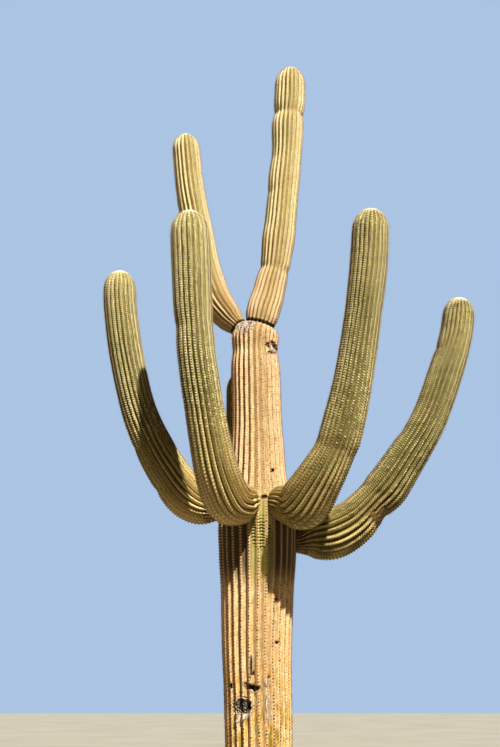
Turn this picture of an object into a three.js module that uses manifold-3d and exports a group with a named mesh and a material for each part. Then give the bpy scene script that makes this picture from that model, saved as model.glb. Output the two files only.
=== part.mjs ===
// A saguaro cactus about 7.5 m tall: a ribbed trunk, five arms that hang out and turn up,
// one short arm behind, and a leader that stands on the trunk's blunt top.
// Millimetres, +Z up. The origin is the centre of the flat cut at ground level.
// The plant is seen from -Y, so left is -X, right is +X and the front arms reach towards -Y.

import * as THREE from "three";
import Module from "manifold-3d";

const wasm = await Module();
wasm.setup();

// Clear gap between solids that touch on the living plant. The flanks of the trunk's ribs slope,
// so its skin is moved outward by a little more to leave that gap square to them.
const GAP = 0.3;
const TRUNK_CLEAR = 0.5;

// A groove between two ribs is this share of the ribs' spacing deep.
const GROOVE_SHARE = 0.42;

// A limb's neck takes up this many of the spans between its stations.
const NECK_SPANS = 3;

// Skin colours of the parts, as sunlit in the photograph.
const SKIN = {
  trunk: 0xd9b47c,
  arm: 0xa69158,
  leader: 0xd3bc82,
};

// The growing tip is a dome this many times as long as its radius, a little blunter than an egg.
const DOME = { length: 1.35, bluntness: 2.3, closing: 2.1, levels: [0, 0.42, 0.74, 0.93] };

// The trunk: its ribs, then its sections as [height, radius at the rib crests, lean towards +X,
// fall towards +X]. The foot flares to the ground, the waist where the arms grow is the widest
// part, and the upper trunk ends in a blunt shoulder that falls a little to the right.
const TRUNK = {
  ribs: 28,
  sections: [
    [0, 300, 0, 0],
    [60, 288, 1, 0],
    [160, 272, 4, 0],
    [500, 254, 10, 0],
    [1000, 250, 12, 0],
    [1500, 258, 5, 0],
    [1900, 271, -3, 0],
    [2300, 289, 1, 0],
    [2620, 311, 4, 0],
    [2850, 320, 2, 0],
    [3000, 304, 4, 0],
    [3140, 268, 4, 0],
    [3300, 241, 4, 0],
    [3550, 226, 3, 0],
    [3780, 213, 1, 0],
    [4200, 211, -8, 0],
    [4420, 205, -12, 0],
    [4530, 205, -8, 0.06],
    [4590, 197, -2, 0.17],
    [4626, 172, 6, 0.23],
    [4643, 120, 12, 0.27],
  ],
  topHeight: 4649,
};

// Each arm runs through stations of [x, y, z, radius at the rib crests], from a root inside the
// trunk, out through a narrow neck, round the elbow and up to the tip. A fifth number says how many
// times as high as wide a squeezed neck is. Where an arm bends round a wide gap, splitAt is the
// station at which it is divided into an elbow and an upright.
const ARMS = {
  outer_left: {
    ribs: 22,
    splitAt: 6,
    stations: [
      [-170, 10, 3030, 80],
      [-330, 25, 3010, 92],
      [-455, 50, 3035, 152],
      [-592, 80, 3135, 183],
      [-728, 105, 3308, 172],
      [-880, 125, 3560, 164],
      [-1043, 140, 3930, 149],
      [-1172, 150, 4430, 149],
      [-1252, 150, 4900, 148],
      [-1281, 150, 5264, 145],
    ],
  },
  front_left: {
    ribs: 22,
    splitAt: 6,
    stations: [
      [-30, -150, 3040, 60, 1.6],
      [-45, -282, 3010, 76, 1.55],
      [-100, -362, 2988, 120, 1.16],
      [-162, -468, 2950, 163],
      [-235, -608, 2972, 181],
      [-312, -748, 3160, 165],
      [-388, -815, 3520, 151],
      [-468, -835, 4010, 148],
      [-494, -828, 4270, 145],
      [-514, -820, 4500, 153],
      [-545, -800, 5000, 160],
      [-568, -795, 5340, 151],
    ],
  },
  front_right: {
    ribs: 24,
    splitAt: 6,
    stations: [
      [135, -140, 3040, 60, 1.6],
      [172, -262, 3010, 78, 1.65],
      [224, -345, 2972, 124, 1.22],
      [276, -440, 2930, 168, 1.02],
      [358, -565, 2942, 198],
      [478, -690, 3112, 176],
      [580, -742, 3290, 154],
      [640, -768, 3450, 162],
      [742, -790, 3850, 150],
      [836, -785, 4350, 144],
      [910, -780, 4830, 150],
      [943, -780, 5170, 149],
      [956, -780, 5366, 141],
    ],
  },
  outer_right: {
    ribs: 22,
    splitAt: 6,
    stations: [
      [200, 60, 2760, 80],
      [330, 90, 2750, 90],
      [450, 125, 2785, 165],
      [630, 155, 2825, 206],
      [820, 180, 2930, 190],
      [1000, 195, 3108, 170],
      [1118, 199, 3232, 184],
      [1272, 200, 3450, 170],
      [1508, 200, 3810, 153],
      [1702, 200, 4270, 150],
      [1835, 200, 4660, 143],
      [1898, 200, 5012, 141],
    ],
  },
  upper_left: {
    ribs: 20,
    splitAt: 4,
    stations: [
      [-84, 0, 4575, 78],
      [-173, 10, 4664, 87],
      [-252, 40, 4760, 122],
      [-370, 90, 4960, 144],
      [-475, 145, 5290, 145],
      [-560, 190, 5750, 140],
      [-640, 200, 6180, 138],
      [-712, 200, 6824, 132],
    ],
  },
  back: {
    ribs: 20,
    splitAt: 3,
    stations: [
      [-50, 180, 3230, 80],
      [-90, 330, 3190, 92],
      [-122, 490, 3300, 140],
      [-134, 620, 3600, 144],
      [-138, 660, 4000, 140],
      [-142, 665, 4450, 138],
    ],
  },
};

// The leader stands on the trunk's top and bends round no gap, so it is one limb.
const LEADER = {
  ribs: 22,
  stations: [
    [8, 0, 4560, 90],
    [23, 0, 4640, 93],
    [39, -7, 4702, 114],
    [54, -9, 4762, 138],
    [71, -5, 4840, 148],
    [100, 0, 4935, 146],
    [133, 0, 5080, 139],
    [175, 0, 5260, 133],
    [207, 0, 5530, 148],
    [226, 0, 5690, 144],
    [255, 0, 6000, 141],
    [272, 0, 6200, 147],
    [301, 0, 6500, 141],
    [312, 0, 6775, 152],
    [326, 0, 6940, 141],
    [335, 0, 7060, 150],
    [343, 0, 7240, 147],
    [350, 0, 7474, 141],
  ],
};

// One ring of a ribbed section: a crest and a groove for each rib, round the section's centre.
function ribbedRing({ centre, across, along, radius, tall = 1 }, ribs) {
  const groove = GROOVE_SHARE * ((2 * Math.PI * radius) / ribs);
  const ring = [];
  for (let i = 0; i < 2 * ribs; i += 1) {
    const angle = (Math.PI * i) / ribs;
    const reach = i % 2 === 0 ? radius : radius - groove;
    const point = centre.clone();
    point.addScaledVector(across, reach * Math.cos(angle));
    point.addScaledVector(along, tall * reach * Math.sin(angle));
    ring.push(point);
  }
  return ring;
}

// A closed solid over rings of equal count, with a flat foot and a last point that closes its end.
function solidOver(rings, end) {
  const count = rings[0].length;
  const foot = new THREE.Vector3();
  rings[0].forEach((point) => foot.addScaledVector(point, 1 / count));
  const points = [...rings.flat(), foot, end];
  const footIndex = points.length - 2;
  const endIndex = points.length - 1;
  const lastRing = (rings.length - 1) * count;
  const triangles = [];
  for (let i = 0; i < count; i += 1) {
    const next = (i + 1) % count;
    triangles.push(footIndex, next, i);
    for (let low = 0; low < lastRing; low += count) {
      const high = low + count;
      triangles.push(low + i, low + next, high + next);
      triangles.push(low + i, high + next, high + i);
    }
    triangles.push(lastRing + i, lastRing + next, endIndex);
  }
  return new wasm.Manifold(
    new wasm.Mesh({
      numProp: 3,
      vertProperties: Float32Array.from(points.flatMap((point) => point.toArray())),
      triVerts: Uint32Array.from(triangles),
    }),
  );
}

// A smooth curve through the stations at t, which counts stations. Place, radius and height of
// the neck alike follow the Catmull-Rom cubic of the two stations on either side.
function through(stations, t) {
  const last = stations.length - 1;
  const span = Math.min(Math.floor(t), last - 1);
  const u = t - span;
  const beyond = (near, far) => near.map((value, k) => 2 * value - far[k]);
  const b = stations[span];
  const c = stations[span + 1];
  const a = span > 0 ? stations[span - 1] : beyond(b, c);
  const d = span + 2 <= last ? stations[span + 2] : beyond(c, b);
  return b.map((value, k) => {
    const slope = c[k] - a[k];
    const curve = 2 * a[k] - 5 * value + 4 * c[k] - d[k];
    const bend = 3 * value - a[k] - 3 * c[k] + d[k];
    return 0.5 * (2 * value + slope * u + curve * u ** 2 + bend * u ** 3);
  });
}

// The places of the sections along a limb, counted in stations: one at each station, and one
// more in each span of the neck, where the limb widens fast.
function placesAlong({ stations }) {
  const last = stations.length - 1;
  const places = [];
  for (let t = 0; t < last; t += t < NECK_SPANS ? 0.5 : 1) {
    places.push(t);
  }
  return [...places, last];
}

// The sections of a limb from its root to the last station. The directions across are carried
// along the limb without twist, so that its ribs run true.
function sectionsAlong(limb) {
  const step = 0.01;
  const stations = limb.stations.map(([x, y, z, radius, tall = 1]) => [x, y, z, radius, tall]);
  const last = stations.length - 1;
  const pointAt = (t) => new THREE.Vector3(...through(stations, t));
  const across = new THREE.Vector3(0, 1, 0);
  let before = null;
  return placesAlong(limb).map((t) => {
    const heading = pointAt(Math.min(t + step, last)).sub(pointAt(Math.max(t - step, 0)));
    heading.normalize();
    if (before) {
      across.applyQuaternion(new THREE.Quaternion().setFromUnitVectors(before, heading));
    }
    across.addScaledVector(heading, -across.dot(heading)).normalize();
    before = heading;
    const [, , , radius, tall] = through(stations, t);
    return {
      t,
      heading,
      centre: pointAt(t),
      radius,
      tall,
      across: across.clone(),
      along: new THREE.Vector3().crossVectors(heading, across),
    };
  });
}

// The same section moved along its limb by some millimetres, with another radius if given.
function moved(section, distance, radius = section.radius) {
  const centre = section.centre.clone().addScaledVector(section.heading, distance);
  return { ...section, centre, radius };
}

// The sections of the dome at a limb's growing tip, which reaches the last station.
function domeSections(end) {
  return DOME.levels.map((level) => {
    const back = DOME.length * end.radius * (1 - level);
    const radius = end.radius * (1 - level ** DOME.bluntness) ** (1 / DOME.closing);
    return moved(end, -back, radius);
  });
}

function limbSolid(sections, ribs, end) {
  return solidOver(sections.map((section) => ribbedRing(section, ribs)), end);
}

// A whole limb in one solid, from its root to its growing tip.
function straightLimb(limb) {
  const sections = sectionsAlong(limb);
  const end = sections.pop();
  return limbSolid([...sections, ...domeSections(end)], limb.ribs, end.centre);
}

// An arm that bends round a gap, as an elbow and an upright that meet at a flat cut.
function elbowAndUpright(limb) {
  const sections = sectionsAlong(limb);
  const end = sections.pop();
  const cut = sections.find((section) => section.t === limb.splitAt);
  const elbowEnd = moved(cut, -GAP / 2);
  const lower = sections.filter((section) => section.t < limb.splitAt);
  const upper = sections.filter((section) => section.t > limb.splitAt);
  return {
    elbow: limbSolid([...lower, elbowEnd], limb.ribs, elbowEnd.centre),
    upright: limbSolid([moved(cut, GAP / 2), ...upper, ...domeSections(end)], limb.ribs, end.centre),
  };
}

// The trunk has level sections but for its shoulder. It is made again a little stouter and
// higher to cut the roots of the limbs.
function trunkSolid(extra) {
  const rings = TRUNK.sections.map(([height, radius, lean, fall]) => {
    const section = {
      centre: new THREE.Vector3(lean, 0, height + extra),
      across: new THREE.Vector3(1, 0, -fall),
      along: new THREE.Vector3(0, 1, 0),
      radius,
    };
    return ribbedRing(section, TRUNK.ribs).map((point) => {
      const outward = point.clone().sub(section.centre).normalize();
      return point.addScaledVector(outward, extra);
    });
  });
  const [, , topLean] = TRUNK.sections.at(-1);
  return solidOver(rings, new THREE.Vector3(topLean, 0, TRUNK.topHeight + extra));
}

function meshOf(name, solid, colour) {
  const { vertProperties, triVerts } = solid.getMesh();
  const geometry = new THREE.BufferGeometry();
  geometry.setAttribute("position", new THREE.BufferAttribute(Float32Array.from(vertProperties), 3));
  geometry.setIndex(new THREE.BufferAttribute(Uint32Array.from(triVerts), 1));
  geometry.computeVertexNormals();
  const material = new THREE.MeshStandardMaterial({ color: colour, roughness: 0.75, metalness: 0 });
  const mesh = new THREE.Mesh(geometry, material);
  mesh.name = name;
  return mesh;
}

const saguaro = new THREE.Group();
saguaro.add(meshOf("trunk", trunkSolid(0), SKIN.trunk));

const trunkSpace = trunkSolid(TRUNK_CLEAR);
for (const [name, arm] of Object.entries(ARMS)) {
  const { elbow, upright } = elbowAndUpright(arm);
  saguaro.add(meshOf(`${name}_elbow`, elbow.subtract(trunkSpace), SKIN.arm));
  saguaro.add(meshOf(`${name}_upright`, upright, SKIN.arm));
}
saguaro.add(meshOf("leader", straightLimb(LEADER).subtract(trunkSpace), SKIN.leader));

export default saguaro;
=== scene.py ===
"""A saguaro cactus: ribbed skin, spine pads, spines, woolly tips and old wounds.

Lengths are metres. The origin is the centre of the flat cut at ground level, +Z is up, and the
plant is seen from -Y. Every limb is a profile of ribs carried along a curve through stations.
"""

import functools
import math

import bpy
import numpy as np
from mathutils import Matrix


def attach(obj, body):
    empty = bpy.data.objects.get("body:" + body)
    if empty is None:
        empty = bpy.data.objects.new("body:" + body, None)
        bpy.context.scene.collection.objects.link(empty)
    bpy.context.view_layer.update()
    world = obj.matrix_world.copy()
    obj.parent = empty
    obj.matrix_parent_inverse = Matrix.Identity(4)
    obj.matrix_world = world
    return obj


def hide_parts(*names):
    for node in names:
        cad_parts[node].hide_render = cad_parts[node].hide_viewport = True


bl_info = {
    "name": "Saguaro Cactus",
    "version": (1, 0, 0),
    "blender": (4, 5, 0),
    "location": "View3D > Sidebar > Saguaro",
    "description": "Grows a saguaro's ribbed skin, spine pads, spines, woolly tips and wounds",
    "category": "Add Mesh",
}

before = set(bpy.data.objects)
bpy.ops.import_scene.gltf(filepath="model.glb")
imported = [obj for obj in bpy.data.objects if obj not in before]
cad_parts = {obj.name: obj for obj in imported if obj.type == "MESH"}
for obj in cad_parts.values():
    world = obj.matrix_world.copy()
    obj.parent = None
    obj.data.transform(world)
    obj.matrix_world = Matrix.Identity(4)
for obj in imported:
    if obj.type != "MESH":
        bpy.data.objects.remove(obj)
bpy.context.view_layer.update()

# The view that the photograph was taken with: the sensor's width and the lens in millimetres, the
# eye's place, and how far it looks up.
SENSOR = 36.0
LENS = 41.0
EYE = (-0.057, -7.0, 1.6)
TILT_UP = math.radians(20.4)

# The trunk's sections: height, radius at the rib crests, lean towards +X, fall towards +X.
TRUNK_SECTIONS = (
    (0.000, 0.300, 0.000, 0.00),
    (0.060, 0.288, 0.001, 0.00),
    (0.160, 0.272, 0.004, 0.00),
    (0.500, 0.254, 0.010, 0.00),
    (1.000, 0.250, 0.012, 0.00),
    (1.500, 0.258, 0.005, 0.00),
    (1.900, 0.271, -0.003, 0.00),
    (2.300, 0.289, 0.001, 0.00),
    (2.620, 0.311, 0.004, 0.00),
    (2.850, 0.320, 0.002, 0.00),
    (3.000, 0.304, 0.004, 0.00),
    (3.140, 0.268, 0.004, 0.00),
    (3.300, 0.241, 0.004, 0.00),
    (3.550, 0.226, 0.003, 0.00),
    (3.780, 0.213, 0.001, 0.00),
    (4.200, 0.213, -0.008, 0.00),
    (4.310, 0.207, -0.011, 0.00),
    (4.395, 0.193, -0.014, 0.00),
    (4.470, 0.200, -0.013, 0.03),
    (4.540, 0.206, -0.010, 0.07),
    (4.590, 0.197, -0.002, 0.17),
    (4.626, 0.172, 0.006, 0.23),
    (4.643, 0.120, 0.012, 0.27),
    (4.649, 0.000, 0.012, 0.27),
)

# Each limb: its ribs, the solids it stands for, its record slot, and its stations as
# x, y, z, radius at the rib crests, from a root in the trunk to the growing tip. A fifth number
# says how many times as high as wide a squeezed neck is.
LIMBS = {
    "outer_left": {
        "ribs": 22,
        "nodes": ("outer_left_elbow", "outer_left_upright"),
        "slot": "arm_skin",
        "stations": (
            (-0.170, 0.010, 3.030, 0.080),
            (-0.330, 0.025, 3.010, 0.092),
            (-0.455, 0.050, 3.035, 0.152),
            (-0.592, 0.080, 3.135, 0.183),
            (-0.728, 0.105, 3.308, 0.172),
            (-0.880, 0.125, 3.560, 0.164),
            (-1.043, 0.140, 3.930, 0.149),
            (-1.172, 0.150, 4.430, 0.149),
            (-1.252, 0.150, 4.900, 0.148),
            (-1.281, 0.150, 5.264, 0.145),
        ),
    },
    "front_left": {
        "ribs": 22,
        "nodes": ("front_left_elbow", "front_left_upright"),
        "slot": "arm_skin",
        "stations": (
            (0.030, -0.120, 3.045, 0.040, 1.60),
            (-0.052, -0.275, 3.010, 0.076, 1.55),
            (-0.100, -0.362, 2.988, 0.120, 1.16),
            (-0.162, -0.468, 2.950, 0.163),
            (-0.235, -0.608, 2.972, 0.181),
            (-0.312, -0.748, 3.160, 0.165),
            (-0.388, -0.815, 3.520, 0.151),
            (-0.468, -0.835, 4.010, 0.148),
            (-0.494, -0.828, 4.270, 0.145),
            (-0.514, -0.820, 4.500, 0.153),
            (-0.545, -0.800, 5.000, 0.160),
            (-0.568, -0.795, 5.340, 0.151),
        ),
    },
    "front_right": {
        "ribs": 24,
        "nodes": ("front_right_elbow", "front_right_upright"),
        "slot": "arm_skin",
        "stations": (
            (0.080, -0.110, 3.045, 0.040, 1.60),
            (0.165, -0.262, 3.010, 0.078, 1.60),
            (0.236, -0.340, 2.975, 0.115, 1.22),
            (0.298, -0.435, 2.938, 0.154, 1.02),
            (0.358, -0.565, 2.942, 0.198),
            (0.478, -0.690, 3.112, 0.176),
            (0.580, -0.742, 3.290, 0.154),
            (0.640, -0.768, 3.450, 0.162),
            (0.742, -0.790, 3.850, 0.150),
            (0.836, -0.785, 4.350, 0.144),
            (0.910, -0.780, 4.830, 0.150),
            (0.943, -0.780, 5.170, 0.149),
            (0.956, -0.780, 5.366, 0.141),
        ),
    },
    "outer_right": {
        "ribs": 22,
        "nodes": ("outer_right_elbow", "outer_right_upright"),
        "slot": "arm_skin",
        "stations": (
            (0.200, 0.060, 2.760, 0.080),
            (0.330, 0.090, 2.750, 0.090),
            (0.450, 0.125, 2.785, 0.165),
            (0.630, 0.155, 2.825, 0.206),
            (0.820, 0.180, 2.930, 0.190),
            (1.000, 0.195, 3.108, 0.170),
            (1.118, 0.199, 3.232, 0.184),
            (1.272, 0.200, 3.450, 0.170),
            (1.508, 0.200, 3.810, 0.153),
            (1.702, 0.200, 4.270, 0.150),
            (1.835, 0.200, 4.660, 0.143),
            (1.898, 0.200, 5.012, 0.141),
        ),
    },
    "upper_left": {
        "ribs": 20,
        "nodes": ("upper_left_elbow", "upper_left_upright"),
        "slot": "leader_skin",
        "stations": (
            (-0.084, 0.000, 4.575, 0.078),
            (-0.173, 0.010, 4.664, 0.087),
            (-0.252, 0.040, 4.760, 0.122),
            (-0.370, 0.090, 4.960, 0.144),
            (-0.475, 0.145, 5.290, 0.145),
            (-0.560, 0.190, 5.750, 0.140),
            (-0.640, 0.200, 6.180, 0.138),
            (-0.712, 0.200, 6.824, 0.132),
        ),
    },
    "back": {
        "ribs": 20,
        "nodes": ("back_elbow", "back_upright"),
        "slot": "arm_skin",
        "stations": (
            (-0.050, 0.180, 3.230, 0.080),
            (-0.090, 0.330, 3.190, 0.092),
            (-0.122, 0.490, 3.300, 0.140),
            (-0.134, 0.620, 3.600, 0.144),
            (-0.138, 0.660, 4.000, 0.140),
            (-0.142, 0.665, 4.450, 0.138),
        ),
    },
    "leader": {
        "ribs": 22,
        "nodes": ("leader",),
        "slot": "leader_skin",
        "stations": (
            (0.008, 0.000, 4.560, 0.090),
            (0.023, 0.000, 4.640, 0.112),
            (0.039, -0.007, 4.702, 0.134),
            (0.054, -0.009, 4.762, 0.145),
            (0.071, -0.005, 4.840, 0.148),
            (0.100, 0.000, 4.935, 0.146),
            (0.133, 0.000, 5.080, 0.139),
            (0.175, 0.000, 5.260, 0.133),
            (0.207, 0.000, 5.530, 0.148),
            (0.226, 0.000, 5.690, 0.144),
            (0.255, 0.000, 6.000, 0.141),
            (0.272, 0.000, 6.200, 0.147),
            (0.301, 0.000, 6.500, 0.141),
            (0.312, 0.000, 6.775, 0.152),
            (0.326, 0.000, 6.940, 0.141),
            (0.335, 0.000, 7.060, 0.150),
            (0.343, 0.000, 7.240, 0.147),
            (0.350, 0.000, 7.474, 0.141),
        ),
    },
}
TRUNK_RIBS = 28
TRUNK_SEED = 11

# How far along from its root a limb is corky.
CORKY_REACH = {
    "outer_left": 0.25,
    "front_left": 0.10,
    "front_right": 0.10,
    "outer_right": 0.20,
    "upper_left": 0.07,
    "back": 0.20,
    "leader": 0.08,
}

# Where the seam round an upper limb's foot ends, as a length from its root: near black below this
# length as painted shadow under the foot, and corky a little beyond.
SEAM_AND_SHADOW = {"leader": 0.134, "upper_left": 0.118}

# How much greener a limb is than the ones on the left: partly a deeper olive of its own and partly
# painted shade, darkest towards the grooves, for the limbs that catch the light less.
GREENNESS = {"front_right": 0.50, "outer_right": 0.90, "back": 0.50}

# Old constrictions and scabs on the limbs: place counted in stations, depth, half its length
# along the limb, the way that its middle faces (90 is the inside of the bend, 270 the outside),
# half of its angle round the limb, and how corky it is.
RINGS = {
    "leader": (
        (13.85, 0.012, 0.032, 270, 360, 0.10),
        (11.70, 0.004, 0.040, 90, 90, 0.00),
        (10.10, 0.005, 0.030, 90, 120, 0.10),
        (6.78, 0.011, 0.038, 270, 360, 0.25),
        (5.40, 0.003, 0.030, 90, 100, 0.10),
    ),
    "upper_left": (
        (6.30, 0.008, 0.045, 90, 70, 0.05),
        (3.10, 0.004, 0.050, 270, 90, 0.00),
    ),
    "front_left": (
        (8.10, 0.005, 0.050, 270, 120, 0.05),
        (6.20, 0.004, 0.040, 90, 100, 0.00),
    ),
    "front_right": (
        (6.30, 0.006, 0.055, 245, 55, 0.42),
        (9.20, 0.004, 0.050, 270, 100, 0.00),
    ),
    "outer_left": (
        (3.85, 0.009, 0.035, 270, 70, 0.10),
        (5.20, 0.006, 0.040, 270, 60, 0.05),
    ),
    "outer_right": (
        (9.52, 0.010, 0.038, 90, 58, 0.55),
        (4.48, 0.008, 0.070, 228, 58, 0.80),
        (4.80, 0.005, 0.110, 242, 52, 0.80),
        (4.92, 0.006, 0.034, 285, 50, 0.45),
        (7.60, 0.005, 0.050, 90, 90, 0.00),
    ),
}

# Wounds on the trunk's front: x, z, half width, half height, depth, lip, tilt and bend of the
# middle line. A negative depth is a swelling.
WOUNDS = {
    "hollow": (-0.110, 1.487, 0.070, 0.066, 0.046, 0.002, 0.00, 0.00),
    "hollow_callus": (-0.114, 1.402, 0.058, 0.020, -0.007, 0.000, 0.40, -0.15),
    "crescent": (-0.040, 1.622, 0.066, 0.028, 0.052, 0.003, -0.22, 0.30),
    "crescent_tip": (0.078, 1.660, 0.018, 0.011, 0.024, 0.002, 2.60, 0.00),
    "chip": (-0.039, 1.722, 0.014, 0.008, 0.020, 0.002, -0.30, 0.00),
    "left_slit": (-0.206, 1.630, 0.014, 0.019, 0.020, 0.004, 0.00, 0.00),
    "scar": (0.070, 1.500, 0.012, 0.125, -0.007, 0.000, 0.00, 0.00),
    "scar_head": (0.072, 1.645, 0.021, 0.028, -0.008, 0.000, 0.00, 0.00),
    "crack": (-0.050, 1.765, 0.007, 0.080, 0.009, 0.001, 0.00, 0.00),
    "pit_low": (0.152, 1.940, 0.009, 0.010, 0.018, 0.003, 0.00, 0.00),
    "pit_middle": (0.155, 2.262, 0.011, 0.011, 0.020, 0.004, 0.00, 0.00),
    "pit_high": (0.135, 3.290, 0.012, 0.013, 0.026, 0.003, 0.00, 0.00),
    "slot": (0.061, 3.052, 0.025, 0.010, 0.040, 0.008, 0.00, -0.10),
    "knot_boss": (0.146, 4.386, 0.020, 0.022, -0.006, 0.000, 0.00, 0.00),
    "knot_hollow": (0.157, 4.440, 0.031, 0.030, 0.048, 0.004, -0.25, 0.20),
    "knot_left": (0.098, 4.420, 0.017, 0.014, 0.028, 0.002, 0.00, 0.00),
    "knot_middle": (0.110, 4.396, 0.013, 0.018, 0.030, 0.002, -0.80, 0.00),
    "knot_slit": (0.113, 4.348, 0.024, 0.011, 0.028, 0.002, 0.95, 0.00),
    "knot_edge": (0.163, 4.382, 0.011, 0.028, 0.028, 0.002, 0.00, 0.00),
    "knot_fibre": (0.138, 4.362, 0.005, 0.024, 0.016, 0.002, 0.90, 0.00),
}

# A wound's rings and the points round each, its lip's and its rim's distance from its middle as
# shares of its size, and the least half size that counts where it presses the skin in.
WOUND_RINGS = 30
WOUND_SPOKES = 72
WOUND_LIP = 1.03
WOUND_RIM = 1.20
LEAST_WOUND = 0.011

# How far torn fibres stand up in a hollow, as a share of its depth, and their pitch.
FIBRES = {"hollow": 0.80, "knot_hollow": 0.30}
FIBRE_PITCH = 0.021

# The grey wound on the trunk's shoulder: its middle and its radius.
CROWN_WOUND = (-0.105, -0.150, 4.620)
CROWN_WOUND_RADIUS = 0.150

# The trunk's skin on which the arms' shade is painted: from what height to what, how softly that
# starts and ends, and the middle and half the width of the sunlit tongue between the front arms,
# which the painted shade leaves out.
SHADED = (2.30, 3.16)
SHADE_EDGE = 0.25
TONGUE_MIDDLE = 0.030
TONGUE_HALF_WIDTH = 0.055

# Where nothing grows: near a limb's root, near the ground, and on skin so corky or so scarred.
ROOT_BARE = 0.12
FOOT_BARE = 0.04
CORKY_BARE = 0.60
SCARRED_BARE = 0.35

# The squeezed skin between the front arms, where the flanks lie in folds: middle, half sizes.
FOLDS = (0.030, 2.765, 0.095, 0.150)
FOLD_PITCH = 0.0250

# Where a rib's columns of points lie, as shares of the way from its crest to the next one's.
RIB_COLUMNS = (0.0, 0.10, 0.22, 0.36, 0.5, 0.64, 0.78, 0.90)

# How many places the middle line of a limb and of the trunk is worked out at, before rows are laid
# on it, and how far before and behind a row its heading is taken.
LIMB_PLACES = 2400
TRUNK_PLACES = 4000
HEADING_STEP = 0.004

# How uneven the skin is: the share by which ribs differ in width, and then the size and pitch of
# the ripples by which the ribs wander sideways and the skin swells.
RIB_UNEVENNESS = 0.09
LIMB_WANDER = (0.020, 0.7)
LIMB_LUMPS = (0.012, 0.5)
TRUNK_WANDER = (0.012, 0.9)
TRUNK_LUMPS = (0.010, 0.6)

# How far a bead reaches down the flanks, as a share of the ribs' spacing, and how large the
# trunk's beads are beside the limbs'.
BEAD_REACH = 0.24
TRUNK_BEAD = 0.7

# The numbers that each point of a skin carries besides its height up the rib: how corky, scarred,
# young and folded it is, how far between two pads, how old and how green. On the trunk, the
# age number says where the arms' shade is painted, and green where the sunlit tongue lies.
SKIN_NUMBERS = ("cork", "wound", "youth", "fold", "gap", "age", "green")

# The growing tip is a dome, a little blunter than an egg.
DOME_LENGTH = 1.35
DOME_BLUNTNESS = 2.3
DOME_CLOSING = 2.1

# The three kinds of skin: where the flank's and the crest's colours lie on the way from groove to
# crest, how much another tone covers the crests between the pads, a paler one on the trunk and a
# near black painted shadow of pads and spines on the limbs, and the age number from which
# a limb turns brown and how brown it gets; on an arm that brown is also painted light on the bends.
SKINS = {
    "trunk": {"flank": 0.24, "crest": 0.66, "gap": 0.45},
    "leader": {"flank": 0.22, "crest": 0.70, "gap": 0.25, "browned": (0.60, 0.75)},
    "arm": {"flank": 0.34, "crest": 0.68, "gap": 0.90, "browned": (0.52, 0.88)},
}

# Flecks on the skin, from the broadest to the finest: a tone and its factor, the noise's scale,
# detail and height, where it starts and is full, and how much it covers on the trunk and on a limb.
FLECKS = {
    "streaks": ("flank", 1.20, 34.0, 4.0, 0.09, 0.40, 0.66, 0.60, 0.60),
    "glints": ("crest", 1.45, 76.0, 3.0, 0.60, 0.53, 0.62, 0.65, 0.39),
    "specks": ("fleck", 1.60, 88.0, 3.0, 0.60, 0.53, 0.61, 0.80, 0.48),
    "striae": ("fleck", 1.30, 150.0, 4.0, 0.08, 0.62, 0.40, 0.42, 0.42),
    "pores": ("fleck", 0.80, 190.0, 2.0, 1.00, 0.57, 0.66, 0.50, 0.50),
}

# The darker and the lighter tone of each felt and spine.
GROWTHS = {
    "arm_felt": ((0.72, 0.60, 0.36), (0.84, 0.72, 0.47)),
    "dull_felt": ((0.62, 0.50, 0.27), (0.80, 0.67, 0.41)),
    "leader_felt": ((0.40, 0.28, 0.15), (0.72, 0.55, 0.34)),
    "old_felt": ((0.28, 0.20, 0.095), (0.46, 0.35, 0.19)),
    "trunk_felt": ((0.30, 0.15, 0.075), (0.52, 0.33, 0.19)),
    "trunk_dark": ((0.07, 0.035, 0.02), (0.22, 0.10, 0.055)),
    "spine_worn": ((0.38, 0.28, 0.16), (0.54, 0.42, 0.26)),
    "trunk_spine_worn": ((0.26, 0.15, 0.09), (0.38, 0.24, 0.14)),
    "spine_dark": ((0.15, 0.07, 0.035), (0.24, 0.12, 0.06)),
    "spine_young": ((0.80, 0.70, 0.45), (0.88, 0.80, 0.58)),
}

# How rough a growth is, and the scale of the noise between its tones.
FELT_FINISH = (0.85, 70.0)
SPINE_FINISH = (0.60, 5.0)
WOOL_FINISH = (0.80, 5.0)

# Pads: how many sides they have, how long they are up the rib beside their width, how deep
# their rims sink in, how large the trunk's are beside the limbs', and the least share of dark
# ones.
PAD_SIDES = 8
PAD_LENGTH = 0.85
PAD_SINK = 0.0008
TRUNK_PAD = 0.95
LIMB_DARK_PADS = 0.06
TRUNK_DARK_PADS = 0.60

# How far spines lift off the skin: those that lie round a pad, and those that stand out.
RAY_LIFT = (0.25, 0.50)
MIDDLE_LIFT = (0.85, 1.25)

# Spines on a pad: how many lie round it, how many stand out, and their length's factor.
LIMB_SPINES = (6, 3, 1.0)
TRUNK_SPINES = (4, 2, 0.75)

# Wool on a tip: how many bristles, how far it reaches as a share of the radius, and their radius.
WOOL_COUNT = 620
WOOL_REACH = 0.46
WOOL_THICKNESS = 0.0021

# The stage: the floor's half width, the lamp's strength, its angle from straight above and round
# from the front, and the angle that it fills.
FLOOR_REACH = 60.0
LAMP_STRENGTH = 5.2
LAMP_TILT = math.radians(43)
LAMP_TURN = math.radians(21)
LAMP_ANGLE = math.radians(0.8)


def length_of(name, description, default):
    """A property that holds a length in metres."""
    settings = {"name": name, "description": description, "default": default}
    return bpy.props.FloatProperty(unit="LENGTH", **settings)


def share_of(name, description, default):
    """A property that holds a share."""
    settings = {"name": name, "description": description, "default": default}
    return bpy.props.FloatProperty(subtype="FACTOR", **settings)


def colour_of(name, description, *default):
    """A property that holds a colour."""
    settings = {"name": name, "description": description, "default": default}
    return bpy.props.FloatVectorProperty(subtype="COLOR", **settings)


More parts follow.
